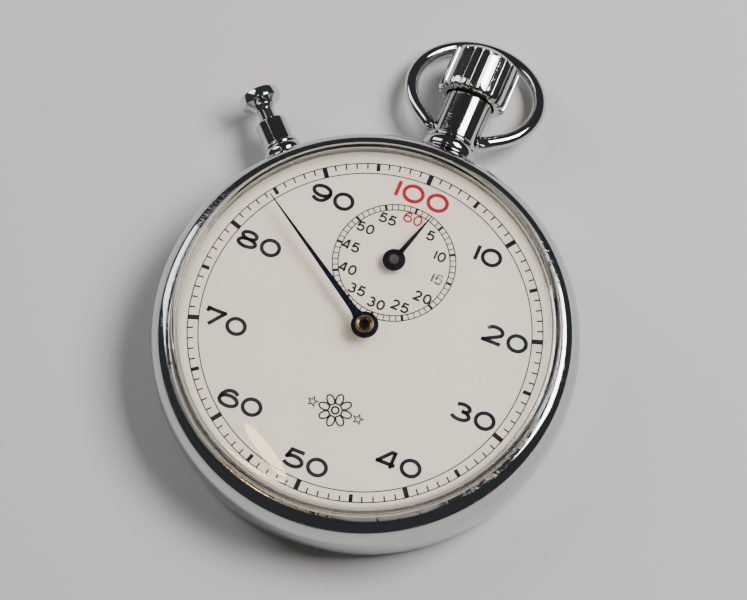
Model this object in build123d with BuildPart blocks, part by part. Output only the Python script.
"""Mechanical stopwatch with an open dial, crown winding and a side reset pusher.

Frame: the origin is the centre of the case back's flat resting face, on the axis of the
main hand. +Z points out of the dial and +Y points to the crown. Millimetres.
"""
from build123d import *
from math import acos, asin, atan2, copysign, cos, degrees, hypot, pi, radians, sin
import os

# ---------------------------------------------------------------- driving dimensions
# case
BACK_FLAT_RADIUS = 20.0
CASE_RADIUS = 25.5
BACK_EDGE_HEIGHT = 2.0
SEAM_HEIGHT = 6.6
LIP_RADIUS = 22.95
LIP_HEIGHT = 10.6
MOVEMENT_BAY_RADIUS = 21.0
PLATE_RADIUS = 22.2
CRYSTAL_RADIUS = 22.9
CRYSTAL_TOP = 13.8
CRYSTAL_WALL = 0.65

# dial and hands
DIAL_RADIUS = 22.55
DIAL_BOTTOM = 8.9
DIAL_TOP = 9.3
SUB_DIAL = (0.0, 8.95)
MAIN_HAND_LENGTH = 19.96
MAIN_HAND_CLOCK = 303.1
MAIN_HAND_HEIGHT = 10.95
MINUTE_HAND_LENGTH = 7.15
MINUTE_HAND_CLOCK = 17.0
MINUTE_HAND_HEIGHT = 10.2
HAND_THICKNESS = 0.2

# pendant, crown, bow and pusher
AXIS_HEIGHT = 4.5
NECK_RADIUS = 2.925
NECK_TOP = 34.8
BOW_PIVOT = 29.0
BOW_HALF_WIDTH = 8.12
BOW_HALF_HEIGHT = 7.15
BOW_REACH = 6.67
BOW_WIRE = 0.85
BOW_DROOP = 15.2
CROWN_RADIUS = 4.35
CROWN_BOTTOM = 33.6
CROWN_TOP = 40.6
CROWN_FLUTES = 24
STEM_RADIUS = 0.8
PUSHER_ANGLE = 135.0
PUSHER_TIP = 20.1
PUSHER_CAP_RADIUS = 2.5

# movement levels
BRIDGE_LOW = 2.5
BRIDGE_HIGH = 3.5
PLATE_LOW = 7.2
PLATE_HIGH = 8.8
LOWER_LEVERS = 1.15
UPPER_LEVERS = 1.75
LEVER_THICKNESS = 0.5

# clearances
RUNNING = 0.03
SEAT = 0.01

# gear train: tooth counts, modules and arbor places
BARREL_TEETH, BARREL_MODULE = 60, 0.2343
SECOND_LEAVES = 10
SECOND_TEETH, SECOND_MODULE = 64, 0.2
THIRD_LEAVES = 8
THIRD_TEETH, THIRD_MODULE = 60, 0.175
FOURTH_LEAVES = 8
FOURTH_TEETH, FOURTH_MODULE = 70, 0.13714
ESCAPE_LEAVES = 7
ESCAPE_TEETH = 15
ESCAPE_RADIUS = 2.4
RATCHET_TEETH = 30
CROWN_WHEEL_TEETH = 20
PINION_TEETH = 14
BARREL_AT = (8.0, 10.75)
SECOND_AT = SUB_DIAL
THIRD_AT = (-4.768, 3.558)
FOURTH_AT = (0.0, 0.0)
ESCAPE_AT = (3.0, -4.345)
BALANCE_AT = (5.5, -13.2)
PALLET_REACH = 3.35
CROWN_WHEEL_AT = (0.0, 14.2)
WINDING_FACE = (16.95, 17.6)

# levers
COLUMN_AT = (-9.0, 16.0)
START_PIVOT = (-5.2, 18.6)
START_POST = (-1.3, 19.0)
WHIP_PIVOT = (-13.5, 6.5)
HAMMER_PIVOT = (-6.5, -12.0)
CLICK_PIVOT = (15.3, 5.9)
PLATE_PILLARS = [(18.9 * cos(radians(a)), 18.9 * sin(radians(a))) for a in (5, 172, 225, 262, 335)]
BARREL_PILLARS = [(17.6, 8.5), (3.6, 18.9), (-4.3, 16.4)]
COCK_LEG = (12.9, -14.3)
SCREW_HEAD = 0.9
SCREW_SHANK = 0.45
CASE_SCREW_SHANK = 0.3
CASE_SCREWS = [(21.5 * cos(radians(a)), 21.5 * sin(radians(a))) for a in (20, 200)]


# ---------------------------------------------------------------- shared helpers
def keep(piece, name):
    """Label a finished piece and write it under its node's name."""
    piece.part.label = name
    export_step(piece.part, f"parts/{name}.step")


def at(place, height):
    """Horizontal plane at a height, with its origin over a place."""
    return Plane(origin=(place[0], place[1], height))


def bearing(start, end):
    """Angle of the line from one place to another, in degrees from +X."""
    return degrees(atan2(end[1] - start[1], end[0] - start[0]))


def along(start, angle, distance):
    """Place reached by going a distance from a start at an angle."""
    return (start[0] + distance * cos(radians(angle)), start[1] + distance * sin(radians(angle)))


def clock(angle):
    """Angle from +X of a direction given clockwise from twelve o'clock."""
    return 90 - angle


def side_plane(angle):
    """Upright plane through a radial axis: local x runs outward, local y runs up."""
    outward = Vector(cos(radians(angle)), sin(radians(angle)), 0)
    return Plane(origin=(0, 0, AXIS_HEIGHT), x_dir=outward, z_dir=outward.cross(Vector(0, 0, 1)))


def radial_axis(angle):
    """Horizontal axis at the height of the stem, pointing outward."""
    return Axis((0, 0, AXIS_HEIGHT), (cos(radians(angle)), sin(radians(angle)), 0))


def radial_plane(angle, distance):
    """Plane square to a radial axis, at a distance from the middle of the watch."""
    outward = Vector(cos(radians(angle)), sin(radians(angle)), 0)
    return Plane(origin=outward * distance + Vector(0, 0, AXIS_HEIGHT), z_dir=outward)


def gear_points(teeth, module, turn=0.0, root=0.56, tip=0.2, addendum=0.85, dedendum=1.15):
    """Outline of a fine clock gear: straight-sided teeth, one centred on the turn angle."""
    pitch_radius = teeth * module / 2
    points = []
    for tooth in range(teeth):
        middle = radians(turn) + 2 * pi * tooth / teeth
        for radius, side in (
            (pitch_radius - dedendum * module, -root / 2),
            (pitch_radius + addendum * module, -tip / 2),
            (pitch_radius + addendum * module, tip / 2),
            (pitch_radius - dedendum * module, root / 2),
        ):
            angle = middle + side * 2 * pi / teeth
            points.append((radius * cos(angle), radius * sin(angle)))
    return points


def strap(points, width):
    """Chain of round-ended bars through a list of places, in the open sketch."""
    for start, end in zip(points, points[1:]):
        middle = ((start[0] + end[0]) / 2, (start[1] + end[1]) / 2)
        length = hypot(end[0] - start[0], end[1] - start[1])
        with Locations(middle):
            SlotCenterToCenter(length, width, rotation=bearing(start, end))


def ring_wheel(name, centre, low, thickness, outline, rim, hub, bore, arms=5, arm=0.5):
    """Spoked wheel cut from sheet, with an outline of teeth."""
    with BuildPart() as wheel:
        with BuildSketch(at(centre, low)):
            Polygon(*outline)
            Circle(rim, mode=Mode.SUBTRACT)
            with PolarLocations((rim + hub) / 2, arms):
                Rectangle(rim - hub + 0.4, arm)
            Circle(hub)
            Circle(bore, mode=Mode.SUBTRACT)
        extrude(amount=thickness)
    keep(wheel, name)


def pinion_arbor(name, centre, leaves, module, turn, leaf_span, body, body_radius, pivot, bore=0):
    """Pinion cut on its arbor: leaves, plain body and two smaller pivots."""
    low, high = body
    pivot_radius, pivot_length = pivot
    with BuildPart() as arbor:
        with BuildSketch(at(centre, leaf_span[0])):
            Polygon(*gear_points(leaves, module, turn, root=0.46, tip=0.16, addendum=0.75))
        extrude(amount=leaf_span[1] - leaf_span[0])
        with BuildSketch(at(centre, low)):
            Circle(body_radius)
        extrude(amount=high - low)
        with BuildSketch(at(centre, low - pivot_length)):
            Circle(pivot_radius)
        extrude(amount=high - low + 2 * pivot_length)
        if bore:
            with BuildSketch(at(centre, low - pivot_length)):
                Circle(bore)
            extrude(amount=high - low + 2 * pivot_length, mode=Mode.SUBTRACT)
    keep(arbor, name)


def slotted_screws(name, screws):
    """Group of slotted screws: (place, head face, head seat, shank end, head radius, shank radius)."""
    slot_width = 0.22
    slot_depth = 0.2
    with BuildPart() as group:
        for place, face, seat, end, head_radius, shank_radius in screws:
            with BuildSketch(at(place, face)):
                Circle(head_radius)
            extrude(amount=seat - face)
            with BuildSketch(at(place, seat)):
                Circle(shank_radius)
            extrude(amount=end - seat)
            with BuildSketch(at(place, face)):
                Rectangle(2.2 * head_radius, slot_width)
            extrude(amount=copysign(slot_depth, seat - face), mode=Mode.SUBTRACT)
    keep(group, name)


os.makedirs("parts", exist_ok=True)


# ---------------------------------------------------------------- case
with BuildPart() as case_back:
    with BuildSketch(Plane.XZ):
        with BuildLine():
            l1 = Line((0, 0), (BACK_FLAT_RADIUS, 0))
            # the rounded edge leaves the flat face along it, so nothing is lower than the face
            l2 = TangentArc(l1 @ 1, (25.3, 1.75), tangent=(1, 0))
            l3 = Polyline(l2 @ 1, (25.3, BACK_EDGE_HEIGHT), (23.4, BACK_EDGE_HEIGHT), (23.4, 2.45))
            l4 = Polyline(l3 @ 1, (22.8, 2.45), (22.8, 1.6), (20.8, 0.6), (0, 0.6), (0, 0))
        make_face()
    revolve(axis=Axis.Z)
keep(case_back, "case_back")

with BuildPart() as case_middle:
    with BuildSketch(Plane.XZ):
        with BuildLine():
            m1 = ThreePointArc((25.35, 2.06), (25.5, 4.3), (25.3, SEAM_HEIGHT))
            m2 = Polyline(m1 @ 1, (23.9, SEAM_HEIGHT), (23.9, 9.3), (22.65, 9.3), (22.65, 8.85), (22.3, 8.85))
            m3 = Polyline(
                m2 @ 1, (22.3, PLATE_LOW), (MOVEMENT_BAY_RADIUS, PLATE_LOW), (MOVEMENT_BAY_RADIUS, 2.5)
            )
            m4 = Polyline(m3 @ 1, (23.45, 2.5), (23.45, 2.06), m1 @ 0)
        make_face()
    revolve(axis=Axis.Z)
    # seats for the pendant and the pusher tube
    for angle, seat in ((90, 1.97), (PUSHER_ANGLE, 1.72)):
        with BuildSketch(radial_plane(angle, 20.5)):
            Circle(seat)
        extrude(amount=6, mode=Mode.SUBTRACT)
    # threads for the screws that hold the movement down on the ledge
    with BuildSketch(Plane.XY.offset(6.3)):
        with Locations(*CASE_SCREWS):
            Circle(CASE_SCREW_SHANK + SEAT)
    extrude(amount=PLATE_LOW - 6.3, mode=Mode.SUBTRACT)
keep(case_middle, "case_middle")

with BuildPart() as bezel:
    with BuildSketch(Plane.XZ):
        with BuildLine():
            b1 = EllipticalCenterArc(
                (LIP_RADIUS + 0.1, 6.75), CASE_RADIUS - LIP_RADIUS - 0.1, 3.85, start_angle=0, arc_size=90
            )
            b2 = Polyline(
                b1 @ 1,
                (LIP_RADIUS, LIP_HEIGHT - 0.05),
                (LIP_RADIUS, 10.15),
                (23.42, 10.15),
                (23.42, 9.42),
                (23.95, 9.42),
                (23.95, 6.65),
                (25.4, 6.65),
                b1 @ 0,
            )
        make_face()
    revolve(axis=Axis.Z)
keep(bezel, "bezel")


def cap_radius(rise, reach):
    """Radius of the sphere whose cap has this rise and this reach from its axis."""
    return (reach**2 + rise**2) / (2 * rise)


with BuildPart() as crystal:
    outer_reach = CRYSTAL_RADIUS - 0.95
    outer_rise = 1.4
    outer_sphere = cap_radius(outer_rise, outer_reach)
    outer_edge = CRYSTAL_TOP - outer_rise
    inner_reach = CRYSTAL_RADIUS - CRYSTAL_WALL - 0.6
    inner_rise = 1.0
    inner_sphere = cap_radius(inner_rise, inner_reach)
    inner_top = CRYSTAL_TOP - 1.05
    inner_edge = inner_top - inner_rise
    inner_sweep = degrees(asin(inner_reach / inner_sphere))
    with BuildSketch(Plane.XZ):
        with BuildLine():
            c1 = CenterArc(
                (0, CRYSTAL_TOP - outer_sphere), outer_sphere, 90, -degrees(asin(outer_reach / outer_sphere))
            )
            c2 = ThreePointArc(
                c1 @ 1, (outer_reach + 0.68, outer_edge - 0.27), (CRYSTAL_RADIUS, outer_edge - 0.95)
            )
            c3 = Polyline(c2 @ 1, (CRYSTAL_RADIUS, 10.1), (23.37, 10.1), (23.37, 9.45), (22.25, 9.45))
            c4 = Line(c3 @ 1, (CRYSTAL_RADIUS - CRYSTAL_WALL, inner_edge - 0.6))
            c5 = ThreePointArc(c4 @ 1, (inner_reach + 0.43, inner_edge - 0.17), (inner_reach, inner_edge))
            c6 = CenterArc((0, inner_top - inner_sphere), inner_sphere, 90 - inner_sweep, inner_sweep)
            c7 = Line((0, inner_top), (0, CRYSTAL_TOP))
        make_face()
    revolve(axis=Axis.Z)
keep(crystal, "crystal")

# ---------------------------------------------------------------- pendant, crown and bow
with BuildPart() as pendant_tube:
    with BuildSketch(side_plane(90)):
        with BuildLine():
            Polyline(
                (21.3, STEM_RADIUS + RUNNING),
                (21.3, 1.95),
                (25.7, 1.95),
                (25.7, 3.3),
                (26.3, 3.5),
                (27.0, 3.5),
                (27.3, 3.15),
                (27.6, 3.15),
                (27.9, NECK_RADIUS),
                (NECK_TOP - 0.3, NECK_RADIUS),
                (NECK_TOP, NECK_RADIUS - 0.3),
                (NECK_TOP, 1.9),
                (24.6, 1.9),
                (24.6, STEM_RADIUS + RUNNING),
                close=True,
            )
        make_face()
    revolve(axis=radial_axis(90))
    # blind holes for the ends of the bow
    for side in (-1, 1):
        with BuildSketch(Plane(origin=(side * 2.2, BOW_PIVOT, AXIS_HEIGHT), z_dir=(side, 0, 0))):
            Circle(0.6)
        extrude(amount=2, mode=Mode.SUBTRACT)
keep(pendant_tube, "pendant_tube")

CROWN_FLOOR = 36.4
with BuildPart() as crown:
    crown_sphere = cap_radius(CROWN_TOP - CROWN_BOTTOM - 5.75, CROWN_RADIUS - 0.45)
    crown_sweep = degrees(asin((CROWN_RADIUS - 0.45) / crown_sphere))
    with BuildSketch(side_plane(90)):
        with BuildLine():
            k1 = Polyline(
                (CROWN_FLOOR, STEM_RADIUS + SEAT),
                (CROWN_FLOOR, 3.15),
                (CROWN_BOTTOM, 3.15),
                (CROWN_BOTTOM, 3.75),
                (CROWN_BOTTOM + 0.55, CROWN_RADIUS),
                (CROWN_BOTTOM + 5.35, CROWN_RADIUS),
                (CROWN_BOTTOM + 5.75, CROWN_RADIUS - 0.45),
            )
            k2 = CenterArc((CROWN_TOP - crown_sphere, 0), crown_sphere, crown_sweep, -crown_sweep)
            k3 = Polyline((CROWN_TOP, 0), (38.6, 0), (38.6, STEM_RADIUS + SEAT), k1 @ 0)
        make_face()
    revolve(axis=radial_axis(90))
    with BuildSketch(radial_plane(90, CROWN_BOTTOM - 0.1)):
        with PolarLocations(CROWN_RADIUS + 0.03, CROWN_FLUTES):
            Trapezoid(0.56, 0.62, 75, rotation=90)
    extrude(amount=5.75, mode=Mode.SUBTRACT)
keep(crown, "crown")

with BuildPart() as winding_stem:
    with BuildSketch(side_plane(90)):
        with BuildLine():
            Polyline(
                (16.5, 0),
                (16.5, 0.62),
                (19.1, 0.62),
                (19.1, STEM_RADIUS),
                (19.4, STEM_RADIUS),
                (19.4, 1.6),
                (19.8, 1.6),
                (19.8, STEM_RADIUS),
                (38.5, STEM_RADIUS),
                (38.5, 0),
                close=True,
            )
        make_face()
    revolve(axis=radial_axis(90))
    # square that drives the winding pinion while it slides through it
    with BuildSketch(radial_plane(90, 16.3)):
        Circle(2)
        Rectangle(0.9, 0.9, mode=Mode.SUBTRACT)
    extrude(amount=2.6, mode=Mode.SUBTRACT)
keep(winding_stem, "winding_stem")

with BuildPart() as bow:
    start = -degrees(acos(3.9 / BOW_HALF_WIDTH))
    droop = radians(-BOW_DROOP)
    bow_plane = Plane(
        origin=(0, BOW_PIVOT, AXIS_HEIGHT), x_dir=(1, 0, 0), z_dir=(0, -sin(droop), cos(droop))
    )
    with BuildLine(bow_plane) as bow_line:
        EllipticalCenterArc(
            (0, BOW_REACH), BOW_HALF_WIDTH, BOW_HALF_HEIGHT, start_angle=start, arc_size=180 - 2 * start
        )
    with BuildSketch(Plane(origin=bow_line.line @ 0, z_dir=bow_line.line % 0)):
        Circle(BOW_WIRE)
    sweep(path=bow_line.line)
    # ends that turn in the neck
    for side in (-1, 1):
        with BuildSketch(Plane(origin=(side * 2.35, BOW_PIVOT, AXIS_HEIGHT), z_dir=(side, 0, 0))):
            Circle(0.55)
        extrude(amount=1.3)
        with BuildSketch(Plane(origin=(side * 3.1, BOW_PIVOT, AXIS_HEIGHT), z_dir=(side, 0, 0))):
            Circle(BOW_WIRE)
        extrude(amount=0.7)
keep(bow, "bow")

with BuildPart() as crown_spring:
    with BuildLine() as crown_coil:
        Helix(pitch=1.6, height=11.0, radius=1.4, center=(0, 24.9, AXIS_HEIGHT), direction=(0, 1, 0))
    with BuildSketch(Plane(origin=crown_coil.line @ 0, z_dir=crown_coil.line % 0)):
        Circle(0.2)
    sweep(path=crown_coil.line)
keep(crown_spring, "crown_spring")

# ---------------------------------------------------------------- reset pusher
with BuildPart() as pusher_tube:
    with BuildSketch(side_plane(PUSHER_ANGLE)):
        with BuildLine():
            Polyline(
                (21.3, 1.0 + RUNNING),
                (21.3, 1.7),
                (25.6, 1.7),
                (25.6, 2.3),
                (26.1, 2.5),
                (26.6, 2.5),
                (26.9, 2.2),
                (27.2, 2.2),
                (27.5, 1.9),
                (30.6, 1.9),
                (30.8, 1.7),
                (30.8, 1.0 + RUNNING),
                (30.2, 1.0 + RUNNING),
                (30.2, 1.6),
                (25.4, 1.6),
                (25.4, 1.0 + RUNNING),
                close=True,
            )
        make_face()
    revolve(axis=radial_axis(PUSHER_ANGLE))
keep(pusher_tube, "pusher_tube")

with BuildPart() as pusher_stem:
    with BuildSketch(side_plane(PUSHER_ANGLE)):
        with BuildLine():
            Polyline(
                (PUSHER_TIP, 0),
                (PUSHER_TIP, 1.0),
                (PUSHER_TIP + 0.3, 1.0),
                (PUSHER_TIP + 0.3, 0.75),
                (PUSHER_TIP + 0.6, 0.75),
                (PUSHER_TIP + 0.6, 1.0),
                (29.6, 1.0),
                (29.6, 1.5),
                (29.95, 1.5),
                (29.95, 1.0),
                (32.4, 1.0),
                (32.4, 0.7),
                (33.8, 0.7),
                (33.8, 0),
                close=True,
            )
        make_face()
    revolve(axis=radial_axis(PUSHER_ANGLE))
keep(pusher_stem, "pusher_stem")

with BuildPart() as pusher_cap:
    cap_sphere = cap_radius(0.3, PUSHER_CAP_RADIUS - 0.25)
    cap_sweep = degrees(asin((PUSHER_CAP_RADIUS - 0.25) / cap_sphere))
    with BuildSketch(side_plane(PUSHER_ANGLE)):
        with BuildLine():
            p1 = Polyline(
                (33.9, 0),
                (33.9, 0.7 + SEAT),
                (32.4 + SEAT, 0.7 + SEAT),
                (32.4 + SEAT, 1.25),
                (33.35, PUSHER_CAP_RADIUS - 0.15),
                (33.5, PUSHER_CAP_RADIUS),
                (34.55, PUSHER_CAP_RADIUS),
                (34.8, PUSHER_CAP_RADIUS - 0.25),
            )
            p2 = CenterArc((35.1 - cap_sphere, 0), cap_sphere, cap_sweep, -cap_sweep)
            p3 = Line((35.1, 0), p1 @ 0)
        make_face()
    revolve(axis=radial_axis(PUSHER_ANGLE))
keep(pusher_cap, "pusher_cap")

with BuildPart() as pusher_clip:
    with BuildSketch(radial_plane(PUSHER_ANGLE, PUSHER_TIP + 0.33)):
        Circle(1.55)
        Circle(0.75 + SEAT, mode=Mode.SUBTRACT)
        with Locations((0, 1.2)):
            Rectangle(0.9, 1.4, mode=Mode.SUBTRACT)
    extrude(amount=0.24)
keep(pusher_clip, "pusher_clip")

with BuildPart() as pusher_spring:
    outward = Vector(cos(radians(PUSHER_ANGLE)), sin(radians(PUSHER_ANGLE)), 0)
    with BuildLine() as pusher_coil:
        Helix(
            pitch=0.75,
            height=3.7,
            radius=1.31,
            center=outward * 25.64 + Vector(0, 0, AXIS_HEIGHT),
            direction=outward,
        )
    with BuildSketch(Plane(origin=pusher_coil.line @ 0, z_dir=pusher_coil.line % 0)):
        Circle(0.16)
    sweep(path=pusher_coil.line)
keep(pusher_spring, "pusher_spring")

# ---------------------------------------------------------------- dial and hands
DIAL_FEET = [(16.2, -12.0), (-17.2, -10.0)]
with BuildPart() as dial:
    with BuildSketch(Plane.XY.offset(DIAL_BOTTOM)):
        Circle(DIAL_RADIUS)
        Circle(0.9, mode=Mode.SUBTRACT)
        with Locations(SUB_DIAL):
            Circle(0.6, mode=Mode.SUBTRACT)
    extrude(amount=DIAL_TOP - DIAL_BOTTOM)
    with BuildSketch(Plane.XY.offset(7.9)):
        with Locations(*DIAL_FEET):
            Circle(0.45)
    extrude(amount=DIAL_BOTTOM - 7.9)
keep(dial, "dial")

with BuildPart() as main_hand:
    with BuildSketch(Plane(origin=(0, 0, MAIN_HAND_HEIGHT)).rotated((0, 0, clock(MAIN_HAND_CLOCK)))):
        Circle(1.625)
        Polygon(
            (1.2, -0.75),
            (2.6, -0.47),
            (MAIN_HAND_LENGTH, -0.06),
            (MAIN_HAND_LENGTH, 0.06),
            (2.6, 0.47),
            (1.2, 0.75),
        )
        Circle(0.95, mode=Mode.SUBTRACT)
    extrude(amount=HAND_THICKNESS)
keep(main_hand, "main_hand")

with BuildPart() as main_hand_collar:
    with BuildSketch(Plane.XZ):
        with BuildLine():
            Polyline(
                (0.55 + SEAT, 10.6),
                (0.94, 10.6),
                (0.94, 11.16),
                (1.1, 11.16),
                (1.1, 11.4),
                (1.0, 11.5),
                (0.85, 11.5),
                (0.8, 11.42),
                (0.72, 11.42),
                (0.67, 11.5),
                (0.55 + SEAT, 11.5),
                close=True,
            )
        make_face()
    revolve(axis=Axis.Z)
keep(main_hand_collar, "main_hand_collar")

with BuildPart() as seconds_arbor:
    with BuildSketch(Plane.XZ):
        with BuildLine():
            Polyline(
                (0, 1.6),
                (0.25, 1.6),
                (0.25, 9.0),
                (0.55, 9.0),
                (0.55, 11.6),
                (0.25, 11.6),
                (0.25, 11.3),
                (0, 11.2),
                close=True,
            )
        make_face()
    revolve(axis=Axis.Z)
keep(seconds_arbor, "seconds_arbor")

with BuildPart() as minute_hand:
    with BuildSketch(at(SUB_DIAL, MINUTE_HAND_HEIGHT).rotated((0, 0, clock(MINUTE_HAND_CLOCK)))):
        Circle(1.365)
        Polygon(
            (0.9, -0.4),
            (1.9, -0.31),
            (MINUTE_HAND_LENGTH, -0.06),
            (MINUTE_HAND_LENGTH, 0.06),
            (1.9, 0.31),
            (0.9, 0.4),
        )
        Circle(0.45 + SEAT, mode=Mode.SUBTRACT)
    extrude(amount=HAND_THICKNESS * 0.75)
keep(minute_hand, "minute_hand")

with BuildPart() as minute_arbor:
    for low, high, radius in ((1.6, 9.0, 0.25), (9.0, 10.36, 0.45), (10.36, 10.55, 0.6)):
        with BuildSketch(at(SUB_DIAL, low)):
            Circle(radius)
        extrude(amount=high - low)
    with BuildSketch(at(SUB_DIAL, 10.45)):
        Circle(0.3)
    extrude(amount=0.2, mode=Mode.SUBTRACT)
keep(minute_arbor, "minute_arbor")


def heart_cam(name, centre, low_radius, high_radius):
    """Heart-shaped reset cam: its radius grows evenly from the flat to the point."""
    steps = 8
    half = []
    for step in range(steps + 1):
        angle = radians(-90 + 180 * step / steps)
        radius = low_radius + (high_radius - low_radius) * step / steps
        half.append((radius * cos(angle), radius * sin(angle)))
    with BuildPart() as cam:
        with BuildSketch(at(centre, UPPER_LEVERS)):
            with BuildLine():
                Spline(*half)
                Line(half[-1], half[0])
            make_face()
            mirror(about=Plane.YZ)
            Circle(0.25 + SEAT, mode=Mode.SUBTRACT)
        extrude(amount=LEVER_THICKNESS)
    keep(cam, name)


heart_cam("seconds_heart", FOURTH_AT, 0.8, 2.2)
heart_cam("minute_heart", SUB_DIAL, 0.55, 1.3)

# ---------------------------------------------------------------- plates and bridges
JEWEL_RADIUS = 0.75
PALLET_AT = along(ESCAPE_AT, bearing(ESCAPE_AT, BALANCE_AT), PALLET_REACH)
ACROSS = bearing(ESCAPE_AT, BALANCE_AT) + 90
PALLET_LEGS = [along(PALLET_AT, ACROSS, reach) for reach in (-4.2, 4.2)]

with BuildPart() as main_plate:
    with BuildSketch(Plane.XY.offset(PLATE_LOW + 0.02)):
        Circle(PLATE_RADIUS)
        # open bearings of the hollow arbors
        with Locations(FOURTH_AT, SECOND_AT):
            Circle(0.42 + RUNNING, mode=Mode.SUBTRACT)
        with Locations(BARREL_AT):
            Circle(0.7 + RUNNING, mode=Mode.SUBTRACT)
        with Locations(*DIAL_FEET):
            Circle(0.5, mode=Mode.SUBTRACT)
        with Locations(THIRD_AT, ESCAPE_AT, PALLET_AT, BALANCE_AT):
            Circle(JEWEL_RADIUS + SEAT, mode=Mode.SUBTRACT)
        with Locations(*PLATE_PILLARS, *BARREL_PILLARS):
            Circle(0.7 + SEAT, mode=Mode.SUBTRACT)
        with Locations(*PALLET_LEGS, COCK_LEG):
            Circle(SCREW_SHANK + SEAT, mode=Mode.SUBTRACT)
        with Locations(*CASE_SCREWS):
            Circle(CASE_SCREW_SHANK + SEAT, mode=Mode.SUBTRACT)
    extrude(amount=PLATE_HIGH - PLATE_LOW - 0.02)
    # notches that sink the heads of the case screws
    with BuildSketch(Plane.XY.offset(PLATE_HIGH - 0.5)):
        with Locations(*CASE_SCREWS):
            Circle(0.6)
    extrude(amount=0.5, mode=Mode.SUBTRACT)
keep(main_plate, "main_plate")

with BuildPart() as barrel_bridge:
    with BuildSketch(Plane.XY.offset(BRIDGE_LOW)):
        Circle(20.5)
        Polygon(
            (-5.9, 11.4), (2.4, 11.4), (5.2, 5.2), (17.0, 5.2), (21.5, 7.0), (21.5, 21.5), (2.7, 21.5),
            (2.7, 16.3), (-2.7, 16.3), (-2.7, 17.6), (-5.9, 17.6),
            mode=Mode.INTERSECT,
        )
        with Locations(BARREL_AT):
            Circle(1.0 + RUNNING, mode=Mode.SUBTRACT)
        with Locations(*BARREL_PILLARS):
            Circle(SCREW_SHANK + 0.05, mode=Mode.SUBTRACT)
    extrude(amount=BRIDGE_HIGH - BRIDGE_LOW)
    with BuildSketch(Plane.XY.offset(BRIDGE_LOW)):
        with Locations(*BARREL_PILLARS):
            Circle(SCREW_HEAD + 0.05)
    extrude(amount=0.5, mode=Mode.SUBTRACT)
    # boss that the crown wheel turns on
    with BuildSketch(at(CROWN_WHEEL_AT, 2.05)):
        Circle(2.2)
    extrude(amount=BRIDGE_LOW - 2.05)
    with BuildSketch(at(CROWN_WHEEL_AT, 1.35)):
        Circle(1.2)
    extrude(amount=BRIDGE_LOW - 1.35)
    with BuildSketch(at(CROWN_WHEEL_AT, 1.35)):
        Circle(SCREW_SHANK + SEAT)
    extrude(amount=1.7, mode=Mode.SUBTRACT)
    # boss under the ratchet wheel
    with BuildSketch(at(BARREL_AT, 2.05)):
        Circle(1.9)
        Circle(1.0 + RUNNING, mode=Mode.SUBTRACT)
    extrude(amount=BRIDGE_LOW - 2.05)
    # stud for the click
    with BuildSketch(at(CLICK_PIVOT, 1.3)):
        Circle(0.5)
    extrude(amount=BRIDGE_LOW - 1.3)
keep(barrel_bridge, "barrel_bridge")

LEVER_PIVOTS = (START_PIVOT, WHIP_PIVOT, HAMMER_PIVOT)
WHIP_TIP = along(BALANCE_AT, 176, 6.0 + 0.25 + 0.12)
with BuildPart() as train_bridge:
    with BuildSketch(Plane.XY.offset(BRIDGE_LOW)):
        Circle(20.5)
        # room for the barrel bridge and the winding work
        Polygon(
            (-6.2, 11.1), (2.2, 11.1), (5.0, 4.9), (17.1, 4.9), (22, 6.8), (22, 22), (-3.2, 22),
            (-3.2, 17.9), (-6.2, 17.9),
            mode=Mode.SUBTRACT,
        )
        # room for the balance and its cock
        with Locations(BALANCE_AT):
            Circle(7.0, mode=Mode.SUBTRACT)
        with Locations(COCK_LEG):
            Circle(3.4, mode=Mode.SUBTRACT)
        # room for the pusher and the hammer's post
        with Locations(along((0, 0), PUSHER_ANGLE, 20.2)):
            Circle(2.9, mode=Mode.SUBTRACT)
        with Locations((-11.6, 14.4)):
            Circle(1.3, mode=Mode.SUBTRACT)
        # room for the swing of the brake whip's post
        with Locations(along(WHIP_TIP, 210, 1.0)):
            Circle(1.0, mode=Mode.SUBTRACT)
        with Locations(FOURTH_AT, SECOND_AT):
            Circle(0.42 + RUNNING, mode=Mode.SUBTRACT)
        with Locations(THIRD_AT, ESCAPE_AT):
            Circle(JEWEL_RADIUS + SEAT, mode=Mode.SUBTRACT)
        with Locations(*PLATE_PILLARS):
            Circle(SCREW_SHANK + 0.05, mode=Mode.SUBTRACT)
        with Locations(*LEVER_PIVOTS, COLUMN_AT):
            Circle(SCREW_SHANK + SEAT, mode=Mode.SUBTRACT)
    extrude(amount=BRIDGE_HIGH - BRIDGE_LOW)
    with BuildSketch(Plane.XY.offset(BRIDGE_LOW)):
        with Locations(*PLATE_PILLARS):
            Circle(SCREW_HEAD + 0.05)
    extrude(amount=0.5, mode=Mode.SUBTRACT)
    # bosses that carry the levers at their heights
    for place, level, radius in (
        (START_PIVOT, LOWER_LEVERS, 1.1),
        (WHIP_PIVOT, LOWER_LEVERS, 1.1),
        (HAMMER_PIVOT, UPPER_LEVERS, 1.1),
        (COLUMN_AT, LOWER_LEVERS, 0.8),
    ):
        with BuildSketch(at(place, level + LEVER_THICKNESS + 0.04)):
            Circle(radius)
            Circle(SCREW_SHANK + SEAT, mode=Mode.SUBTRACT)
        extrude(amount=BRIDGE_LOW - level - LEVER_THICKNESS - 0.04)
keep(train_bridge, "train_bridge")

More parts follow.
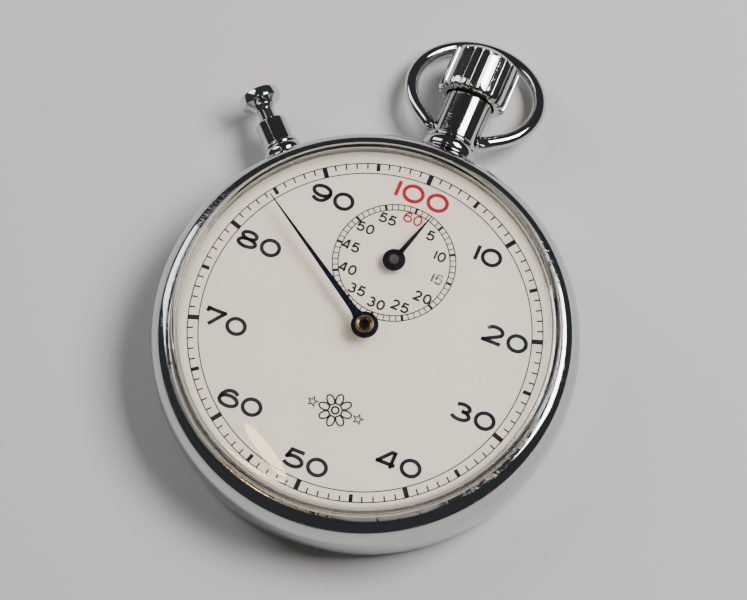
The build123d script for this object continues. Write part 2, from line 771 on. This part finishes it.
with BuildPart() as plate_pillars:
    with BuildSketch(Plane.XY.offset(BRIDGE_HIGH)):
        with Locations(*PLATE_PILLARS, *BARREL_PILLARS):
            Circle(1.15)
    extrude(amount=PLATE_LOW - BRIDGE_HIGH)
    with BuildSketch(Plane.XY.offset(PLATE_LOW)):
        with Locations(*PLATE_PILLARS, *BARREL_PILLARS):
            Circle(0.7)
    extrude(amount=1.2)
    with BuildSketch(Plane.XY.offset(BRIDGE_HIGH)):
        with Locations(*PLATE_PILLARS, *BARREL_PILLARS):
            Circle(SCREW_SHANK + SEAT)
    extrude(amount=2.6, mode=Mode.SUBTRACT)
keep(plate_pillars, "plate_pillars")

with BuildPart() as balance_cock:
    with BuildSketch(Plane.XY.offset(BRIDGE_LOW)) as cock_shape:
        with Locations(BALANCE_AT):
            Circle(2.3)
        with Locations(COCK_LEG):
            Circle(1.6)
        make_hull()
        with Locations(BALANCE_AT):
            Circle(JEWEL_RADIUS + SEAT, mode=Mode.SUBTRACT)
    extrude(amount=BRIDGE_HIGH - BRIDGE_LOW - 0.1)
    with BuildSketch(at(COCK_LEG, BRIDGE_LOW)):
        Circle(1.1)
    extrude(amount=PLATE_LOW - BRIDGE_LOW)
    with BuildSketch(at(COCK_LEG, BRIDGE_LOW)):
        Circle(SCREW_SHANK + 0.05)
    extrude(amount=PLATE_LOW - BRIDGE_LOW, mode=Mode.SUBTRACT)
    with BuildSketch(at(COCK_LEG, BRIDGE_LOW)):
        Circle(SCREW_HEAD + 0.05)
    extrude(amount=0.5, mode=Mode.SUBTRACT)
    # seat of the index
    with BuildSketch(at(BALANCE_AT, 2.1)):
        Circle(1.3)
        Circle(JEWEL_RADIUS + SEAT, mode=Mode.SUBTRACT)
    extrude(amount=BRIDGE_LOW - 2.1)
keep(balance_cock, "balance_cock")

PALLET_BRIDGE_LOW = 5.35
PALLET_BRIDGE_HIGH = 5.75
with BuildPart() as pallet_bridge:
    with BuildSketch(Plane.XY.offset(PALLET_BRIDGE_LOW)):
        strap([PALLET_LEGS[0], PALLET_AT, PALLET_LEGS[1]], 1.7)
        with Locations(PALLET_AT):
            Circle(1.1)
            Circle(JEWEL_RADIUS + SEAT, mode=Mode.SUBTRACT)
    extrude(amount=PALLET_BRIDGE_HIGH - PALLET_BRIDGE_LOW)
    with BuildSketch(Plane.XY.offset(PALLET_BRIDGE_HIGH)):
        with Locations(*PALLET_LEGS):
            Circle(0.8)
    extrude(amount=PLATE_LOW - PALLET_BRIDGE_HIGH)
    with BuildSketch(Plane.XY.offset(PALLET_BRIDGE_LOW)):
        with Locations(*PALLET_LEGS):
            Circle(SCREW_SHANK - 0.1)
    extrude(amount=PLATE_LOW - PALLET_BRIDGE_LOW, mode=Mode.SUBTRACT)
keep(pallet_bridge, "pallet_bridge")

PIVOT = 0.15
with BuildPart() as jewels:
    for place, low, thickness in (
        (THIRD_AT, BRIDGE_HIGH - 0.4, 0.4),
        (ESCAPE_AT, BRIDGE_HIGH - 0.4, 0.4),
        (BALANCE_AT, BRIDGE_HIGH - 0.5, 0.4),
        (PALLET_AT, PALLET_BRIDGE_LOW, PALLET_BRIDGE_HIGH - PALLET_BRIDGE_LOW),
        (THIRD_AT, PLATE_LOW + 0.02, 0.4),
        (ESCAPE_AT, PLATE_LOW + 0.02, 0.4),
        (PALLET_AT, PLATE_LOW + 0.02, 0.4),
        (BALANCE_AT, PLATE_LOW + 0.02, 0.4),
    ):
        with BuildSketch(at(place, low)):
            Circle(JEWEL_RADIUS)
            Circle(PIVOT + RUNNING, mode=Mode.SUBTRACT)
        extrude(amount=thickness)
    # cap jewels of the balance
    for low in (BRIDGE_HIGH - 0.85, PLATE_LOW + 0.45):
        with BuildSketch(at(BALANCE_AT, low)):
            Circle(JEWEL_RADIUS)
        extrude(amount=0.3)
keep(jewels, "jewels")

# every screw that holds the frame: (place, head face, head seat, shank end, head radius, shank radius)
plate_screws = [
    (place, BRIDGE_LOW, 3.0, 6.0, SCREW_HEAD, SCREW_SHANK) for place in PLATE_PILLARS + BARREL_PILLARS
]
cock_screw = [(COCK_LEG, BRIDGE_LOW, 3.0, 8.2, SCREW_HEAD, SCREW_SHANK)]
pallet_screws = [(place, 5.0, PALLET_BRIDGE_LOW, 8.0, 0.6, 0.34) for place in PALLET_LEGS]
case_screws = [(place, 8.75, 8.35, 6.4, 0.55, CASE_SCREW_SHANK) for place in CASE_SCREWS]
low_lever_screws = [
    (place, 0.8, LOWER_LEVERS - 0.03, 3.3, 0.85, SCREW_SHANK)
    for place in (START_PIVOT, WHIP_PIVOT, COLUMN_AT)
]
hammer_screw = [(HAMMER_PIVOT, 1.35, UPPER_LEVERS - 0.03, 3.3, 0.85, SCREW_SHANK)]
winding_screws = [
    (CROWN_WHEEL_AT, 0.95, 1.25, 3.0, 1.9, SCREW_SHANK),
    (CLICK_PIVOT, 0.95, 1.28, 1.29, 0.8, 0.3),
]
bridge_screws = plate_screws + cock_screw + pallet_screws + case_screws
slotted_screws("movement_screws", bridge_screws + low_lever_screws + hammer_screw + winding_screws)

# ---------------------------------------------------------------- winding work
with BuildPart() as winding_pinion:
    with BuildSketch(radial_plane(90, WINDING_FACE[0])):
        Polygon(
            *gear_points(
                PINION_TEETH, 0.33, 90 + 180 / PINION_TEETH, root=0.5, tip=0.2, addendum=0.45, dedendum=1.0
            )
        )
        Rectangle(0.96, 0.96, mode=Mode.SUBTRACT)
    extrude(amount=WINDING_FACE[1] - WINDING_FACE[0])
keep(winding_pinion, "winding_pinion")

WINDING_MODULE = 2 * hypot(8.0, 3.45) / (RATCHET_TEETH + CROWN_WHEEL_TEETH)
TO_RATCHET = bearing(CROWN_WHEEL_AT, BARREL_AT)
with BuildPart() as crown_wheel:
    with BuildSketch(at(CROWN_WHEEL_AT, 1.35)):
        Polygon(*gear_points(CROWN_WHEEL_TEETH, WINDING_MODULE, TO_RATCHET))
        Circle(1.2 + RUNNING, mode=Mode.SUBTRACT)
    extrude(amount=0.65)
    # teeth on its face that mesh with the winding pinion
    with BuildSketch(at(CROWN_WHEEL_AT, 2.0)):
        with PolarLocations(3.0, CROWN_WHEEL_TEETH, start_angle=90):
            Rectangle(0.55, 0.3)
    extrude(amount=0.3)
keep(crown_wheel, "crown_wheel")

with BuildPart() as ratchet_wheel:
    with BuildSketch(at(BARREL_AT, 1.35)):
        Polygon(*gear_points(RATCHET_TEETH, WINDING_MODULE, TO_RATCHET + 180 + 180 / RATCHET_TEETH))
        Rectangle(1.64, 1.64, mode=Mode.SUBTRACT)
    extrude(amount=0.65)
keep(ratchet_wheel, "ratchet_wheel")
slotted_screws("ratchet_screw", [(BARREL_AT, 0.95, 1.3, 2.6, 1.5, 0.4)])

with BuildPart() as barrel_arbor:
    with BuildSketch(at(BARREL_AT, 1.35)):
        Rectangle(1.6, 1.6)
    extrude(amount=0.68)
    for low, high, radius in (
        (2.03, 3.75, 1.0),
        (3.75, 4.1, 0.9),
        (4.1, 5.9, 1.7),
        (5.9, 6.5, 0.9),
        (6.5, 8.2, 0.7),
    ):
        with BuildSketch(at(BARREL_AT, low)):
            Circle(radius)
        extrude(amount=high - low)
    with BuildSketch(at(BARREL_AT, 1.3)):
        Circle(0.41)
    extrude(amount=1.4, mode=Mode.SUBTRACT)
keep(barrel_arbor, "barrel_arbor")

CLICK_TIP = along(BARREL_AT, bearing(BARREL_AT, CLICK_PIVOT) + 22, RATCHET_TEETH * WINDING_MODULE / 2 + 0.45)
with BuildPart() as click:
    with BuildSketch(Plane.XY.offset(1.35)):
        strap([CLICK_PIVOT, along(CLICK_PIVOT, bearing(BARREL_AT, CLICK_PIVOT) + 30, 1.0)], 1.9)
        with Locations(CLICK_PIVOT):
            Circle(1.1)
        Polygon(
            CLICK_TIP,
            along(CLICK_PIVOT, bearing(BARREL_AT, CLICK_PIVOT), 0.9),
            along(CLICK_PIVOT, bearing(BARREL_AT, CLICK_PIVOT) + 150, 0.7),
        )
        with Locations(CLICK_PIVOT):
            Circle(0.5 + RUNNING, mode=Mode.SUBTRACT)
    extrude(amount=0.5)
keep(click, "click")

# ---------------------------------------------------------------- barrel and train
with BuildPart() as barrel_drum:
    with BuildSketch(at(BARREL_AT, 5.6)):
        Polygon(*gear_points(BARREL_TEETH, BARREL_MODULE, bearing(BARREL_AT, SECOND_AT)))
    extrude(amount=0.5)
    with BuildSketch(at(BARREL_AT, 3.85)):
        Circle(6.6)
    extrude(amount=1.75)
    with BuildSketch(at(BARREL_AT, 3.85)):
        Circle(6.2)
    extrude(amount=2.05, mode=Mode.SUBTRACT)
    with BuildSketch(at(BARREL_AT, 5.8)):
        Circle(0.9 + RUNNING)
    extrude(amount=0.4, mode=Mode.SUBTRACT)
keep(barrel_drum, "barrel_drum")

with BuildPart() as barrel_cover:
    with BuildSketch(at(BARREL_AT, 3.8)):
        Circle(6.18)
        Circle(0.9 + RUNNING, mode=Mode.SUBTRACT)
    extrude(amount=0.25)
keep(barrel_cover, "barrel_cover")


def spiral_strip(name, centre, low, height, inner, pitch, half_turns, width, inner_end):
    """Flat spiral spring: half rings that step outward by half a pitch, and a short inner hook."""
    with BuildPart() as strip:
        for half in range(half_turns):
            upper = half % 2 == 0
            radius = inner + half * pitch / 2
            middle = (centre[0] + (0 if upper else pitch / 2), centre[1])
            with BuildSketch(at(middle, low)):
                Circle(radius + width / 2)
                Circle(radius - width / 2, mode=Mode.SUBTRACT)
                with Locations((0, -50 if upper else 50)):
                    Rectangle(200, 100, mode=Mode.SUBTRACT)
            extrude(amount=height)
        with BuildSketch(at(centre, low)):
            with Locations(((inner + inner_end) / 2, 0)):
                Rectangle(inner - inner_end, width)
        extrude(amount=height)
    keep(strip, name)


spiral_strip("mainspring", BARREL_AT, 4.15, 1.6, 2.6, 0.46, 14, 0.2, 1.74)

ring_wheel(
    "second_wheel", SECOND_AT, 6.5, 0.3,
    gear_points(SECOND_TEETH, SECOND_MODULE, bearing(SECOND_AT, THIRD_AT)),
    5.5,
    1.4,
    0.6 + SEAT,
    arms=5,
    arm=0.7,
)
pinion_arbor(
    "second_pinion", SECOND_AT, SECOND_LEAVES, BARREL_MODULE,
    bearing(SECOND_AT, BARREL_AT) + 180 / SECOND_LEAVES,
    (3.8, 6.3),
    (3.55, 7.15),
    0.6,
    (0.42, 0.85),
    bore=0.25 + RUNNING,
)
ring_wheel(
    "third_wheel", THIRD_AT, 5.6, 0.3,
    gear_points(THIRD_TEETH, THIRD_MODULE, bearing(THIRD_AT, FOURTH_AT)),
    4.5,
    1.1,
    0.4 + SEAT,
    arms=5,
    arm=0.6,
)
pinion_arbor(
    "third_pinion", THIRD_AT, THIRD_LEAVES, SECOND_MODULE,
    bearing(THIRD_AT, SECOND_AT) + 180 / THIRD_LEAVES, (6.35, 7.0), (3.55, 7.15), 0.4, (PIVOT, 0.38),
)
ring_wheel(
    "fourth_wheel", FOURTH_AT, 4.0, 0.3,
    gear_points(FOURTH_TEETH, FOURTH_MODULE, bearing(FOURTH_AT, ESCAPE_AT)),
    4.1,
    1.1,
    0.5 + SEAT,
    arms=5,
    arm=0.5,
)
pinion_arbor(
    "fourth_pinion", FOURTH_AT, FOURTH_LEAVES, THIRD_MODULE,
    bearing(FOURTH_AT, THIRD_AT) + 180 / FOURTH_LEAVES,
    (5.4, 6.1),
    (3.55, 7.15),
    0.5,
    (0.42, 0.85),
    bore=0.25 + RUNNING,
)
pinion_arbor(
    "escape_pinion", ESCAPE_AT, ESCAPE_LEAVES, FOURTH_MODULE,
    bearing(ESCAPE_AT, FOURTH_AT) + 180 / ESCAPE_LEAVES, (3.8, 4.5), (3.55, 7.15), 0.28, (PIVOT, 0.38),
)

# escape wheel with fifteen raked club teeth
escape_outline = []
for tooth in range(ESCAPE_TEETH):
    base = bearing(ESCAPE_AT, PALLET_AT) + 12 + 360 * tooth / ESCAPE_TEETH
    for turn, radius in ((-9, 1.8), (2, ESCAPE_RADIUS), (5, ESCAPE_RADIUS - 0.06), (4, 1.9)):
        escape_outline.append(along((0, 0), base + turn, radius))
ring_wheel("escape_wheel", ESCAPE_AT, 6.0, 0.2, escape_outline, 1.45, 0.6, 0.28 + SEAT, arms=4, arm=0.3)

# ---------------------------------------------------------------- pallet fork and balance
TO_BALANCE = bearing(PALLET_AT, BALANCE_AT)
ROLLER_PIN_REACH = 0.85
FORK_END = along(BALANCE_AT, TO_BALANCE + 180, ROLLER_PIN_REACH - 0.25)
STONES = [along(PALLET_AT, TO_BALANCE + 180 + side, 1.9) for side in (-62, 62)]
with BuildPart() as pallet_fork:
    with BuildSketch(Plane.XY.offset(6.0)):
        strap([STONES[0], PALLET_AT, STONES[1]], 0.5)
        strap([PALLET_AT, along(FORK_END, TO_BALANCE + 180, 0.9)], 0.45)
        # fork that the impulse pin works in
        with Locations(Location((*along(FORK_END, TO_BALANCE + 180, 0.5), 0), (0, 0, TO_BALANCE))):
            Rectangle(1.1, 1.3)
        with Locations(Location((*along(FORK_END, TO_BALANCE + 180, 0.2), 0), (0, 0, TO_BALANCE))):
            Rectangle(0.7, 0.5, mode=Mode.SUBTRACT)
        # blocks that hold the stones, each with an open slot
        for place in STONES:
            with Locations(Location((*place, 0), (0, 0, TO_BALANCE + 180))):
                Rectangle(0.5, 0.5)
            with Locations(Location((*along(place, TO_BALANCE + 180, 0.15), 0), (0, 0, TO_BALANCE + 180))):
                Rectangle(0.4, 0.22, mode=Mode.SUBTRACT)
    extrude(amount=0.25)
    with BuildSketch(at(PALLET_AT, 5.8)):
        Circle(0.3)
    extrude(amount=7.15 - 5.8)
    with BuildSketch(at(PALLET_AT, 5.4)):
        Circle(PIVOT)
    extrude(amount=7.53 - 5.4)
keep(pallet_fork, "pallet_fork")

with BuildPart() as pallet_stones:
    for place in STONES:
        with BuildSketch(at(along(place, TO_BALANCE + 180, 0.23), 5.95).rotated((0, 0, TO_BALANCE + 180))):
            Rectangle(0.55, 0.2)
        extrude(amount=0.3)
keep(pallet_stones, "pallet_stones")

with BuildPart() as balance_wheel:
    with BuildSketch(at(BALANCE_AT, 4.4)):
        Circle(6.0)
        Circle(5.3, mode=Mode.SUBTRACT)
    extrude(amount=0.7)
    with BuildSketch(at(BALANCE_AT, 4.6)):
        Rectangle(11.0, 0.8, rotation=25)
        Circle(1.2)
        Circle(0.35 + SEAT, mode=Mode.SUBTRACT)
    extrude(amount=0.3)
keep(balance_wheel, "balance_wheel")

with BuildPart() as balance_staff:
    for low, high, radius in (
        (3.4, 4.55, 0.3),
        (4.55, 4.92, 0.35),
        (4.92, 5.1, 0.55),
        (5.1, 7.1, 0.3),
        (2.96, 7.63, PIVOT),
    ):
        with BuildSketch(at(BALANCE_AT, low)):
            Circle(radius)
        extrude(amount=high - low)
keep(balance_staff, "balance_staff")

with BuildPart() as roller:
    with BuildSketch(at(BALANCE_AT, 6.5)):
        Circle(1.15)
        Circle(0.3 + SEAT, mode=Mode.SUBTRACT)
    extrude(amount=0.25)
    # impulse pin, which ends just short of the fork
    with BuildSketch(at(along(BALANCE_AT, TO_BALANCE + 180, ROLLER_PIN_REACH), 6.3)):
        Circle(0.16)
    extrude(amount=0.3)
keep(roller, "roller")

with BuildPart() as hairspring_collet:
    with BuildSketch(at(BALANCE_AT, 3.65)):
        Circle(0.6)
        Circle(0.3 + SEAT, mode=Mode.SUBTRACT)
    extrude(amount=0.45)
keep(hairspring_collet, "hairspring_collet")

spiral_strip("hairspring", BALANCE_AT, 3.75, 0.2, 0.95, 0.3, 20, 0.05, 0.63)

with BuildPart() as index:
    with BuildSketch(at(BALANCE_AT, 2.1)):
        Circle(1.9)
        Rectangle(8.2, 0.5, align=(Align.MIN, Align.CENTER), rotation=65)
        Circle(1.3 + RUNNING, mode=Mode.SUBTRACT)
    extrude(amount=0.3)
keep(index, "index")

# ---------------------------------------------------------------- start, stop and reset work
with BuildPart() as start_lever:
    with BuildSketch(Plane.XY.offset(LOWER_LEVERS)):
        strap([START_POST, START_PIVOT, (-5.4, 14.8), (-6.6, 12.9), (-7.6, 12.6)], 0.9)
        with Locations(START_PIVOT):
            Circle(1.1)
            Circle(SCREW_SHANK + RUNNING, mode=Mode.SUBTRACT)
    extrude(amount=LEVER_THICKNESS)
    with BuildSketch(at(START_POST, LOWER_LEVERS)):
        Circle(0.25)
    extrude(amount=4.6 - LOWER_LEVERS)
keep(start_lever, "start_lever")

with BuildPart() as column_wheel:
    with BuildSketch(at(COLUMN_AT, LOWER_LEVERS)):
        for tooth in range(12):
            turn = 360 * tooth / 12
            tip = along((0, 0), turn + 28, 1.8)
            Polygon((0, 0), along((0, 0), turn, 1.45), tip, along((0, 0), turn + 32, 1.3))
        Circle(1.4)
        Circle(SCREW_SHANK + RUNNING, mode=Mode.SUBTRACT)
    extrude(amount=LEVER_THICKNESS)
    # six upright columns
    with BuildSketch(at(COLUMN_AT, LOWER_LEVERS)):
        with PolarLocations(1.2, 6):
            Rectangle(0.4, 0.4)
    extrude(amount=1.25)
keep(column_wheel, "column_wheel")

with BuildPart() as brake_whip:
    with BuildSketch(Plane.XY.offset(LOWER_LEVERS)):
        strap([(-12.3, 13.6), WHIP_PIVOT, (-9.6, -2.0), (-3.4, -10.0), WHIP_TIP], 0.7)
        with Locations(WHIP_PIVOT):
            Circle(1.1)
            Circle(SCREW_SHANK + RUNNING, mode=Mode.SUBTRACT)
    extrude(amount=LEVER_THICKNESS)
    with BuildSketch(at(WHIP_TIP, LOWER_LEVERS)):
        Circle(0.25)
    extrude(amount=5.0 - LOWER_LEVERS)
keep(brake_whip, "brake_whip")

HAMMER_POST = along((0, 0), PUSHER_ANGLE, PUSHER_TIP - 0.5 - 0.1)
with BuildPart() as reset_hammer:
    with BuildSketch(Plane.XY.offset(UPPER_LEVERS)):
        strap([HAMMER_PIVOT, (-7.4, -6.0), (-7.2, 9.5), (-12.0, 12.2), HAMMER_POST], 1.1)
        # two heads with flat faces towards the hearts
        Polygon((-7.4, -1.1), (-3.75, -1.1), (-3.75, 1.1), (-7.3, 1.1))
        Polygon((-7.4, 7.9), (-4.3, 7.9), (-4.3, 9.9), (-7.2, 9.9))
        with Locations(HAMMER_PIVOT):
            Circle(1.2)
            Circle(SCREW_SHANK + RUNNING, mode=Mode.SUBTRACT)
    extrude(amount=LEVER_THICKNESS)
    with BuildSketch(at(HAMMER_POST, UPPER_LEVERS)):
        Circle(0.5)
    extrude(amount=5.0 - UPPER_LEVERS)
keep(reset_hammer, "reset_hammer")


# flat springs of the hammer, the whip and the click, each held at its first place by a stud in the bridge
LEVER_SPRINGS = (
    ([(-17.6, -4.6), (-12.6, -1.6), (-9.2, 5.4), (-8.0, 5.8)], UPPER_LEVERS, 0.6),
    ([(-17.6, -8.4), (-14.4, -8.2), (-8.6, -5.4), (-7.9, -5.4)], LOWER_LEVERS, 0.6),
    ([(18.4, 7.0), (17.7, 7.6), (16.9, 7.2)], 1.4, 0.4),
)
with BuildPart() as lever_springs:
    for points, low, stud in LEVER_SPRINGS:
        with BuildSketch(Plane.XY.offset(low)):
            strap(points, 0.2)
            with Locations(points[0]):
                Circle(stud)
        extrude(amount=0.35)
        with BuildSketch(at(points[0], low)):
            Circle(stud)
        extrude(amount=BRIDGE_LOW - low)
keep(lever_springs, "lever_springs")
